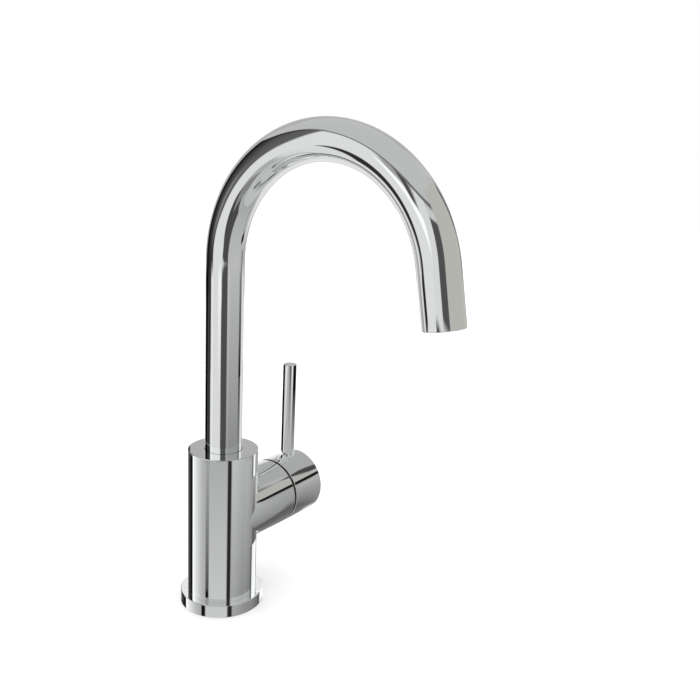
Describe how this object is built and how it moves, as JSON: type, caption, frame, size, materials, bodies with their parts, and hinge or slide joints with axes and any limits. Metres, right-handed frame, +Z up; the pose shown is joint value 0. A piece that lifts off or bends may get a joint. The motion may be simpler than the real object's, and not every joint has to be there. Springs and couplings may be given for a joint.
{
  "type": "single-hole lavatory faucet",
  "caption": "Deck-mounted mixer faucet with a round barrel, side handle with upright pin lever and a swivelling gooseneck spout.",
  "frame": {"origin": "on the barrel's axis, at the base ring's underside where it meets the deck", "axes": "+Z up along the barrel, the spout reaches toward -Y and the side handle points toward +X"},
  "size_m": [0.1119, 0.2036, 0.3332],
  "materials": {
    "chrome": "polished chrome plate on brass",
    "brass": "turned brass, unplated",
    "steel": "stainless steel",
    "rubber": "moulded rubber",
    "ceramic": "lapped alumina ceramic",
    "black_plastic": "moulded acetal",
    "white_plastic": "moulded acetal",
    "grey_plastic": "moulded ABS",
    "green_plastic": "moulded acetal"
  },
  "bodies": {
    "faucet_body": {"base_ring": "chrome", "base_gasket": "rubber", "body": "chrome", "spout_stop_screw": "steel", "cartridge_base": "black_plastic", "port_seals": "rubber", "disc_seals": "rubber", "fixed_disc": "ceramic", "cartridge_shell": "black_plastic", "cartridge_nut": "brass", "glide_ring": "black_plastic"},
    "handle": {"handle_cap": "chrome", "lever_pin": "chrome", "handle_set_screw": "steel", "handle_plug": "chrome", "cartridge_spindle": "brass", "spindle_o_ring": "rubber", "disc_carrier": "black_plastic", "moving_disc": "ceramic"},
    "spout": {"spout_tube": "chrome", "spout_ferrule": "brass", "spout_o_rings": "rubber", "upper_slide_ring": "white_plastic", "lower_slide_ring": "white_plastic", "outlet_tip": "chrome", "aerator_washer": "rubber", "aerator_housing": "grey_plastic", "outlet_grid": "white_plastic", "flow_regulator": "green_plastic", "inlet_screen": "steel"}
  },
  "joints": [
    {"name": "handle_turn", "type": "hinge", "parent": "faucet_body", "child": "handle", "pos_m": [0.0533, 0, 0.0641], "axis": [1, 0, 0], "range_deg": [0, 100]},
    {"name": "spout_swivel", "type": "hinge", "parent": "faucet_body", "child": "spout", "pos_m": [0, 0, 0.1127], "axis": [0, 0, 1], "range_deg": [-60, 60]}
  ]
}
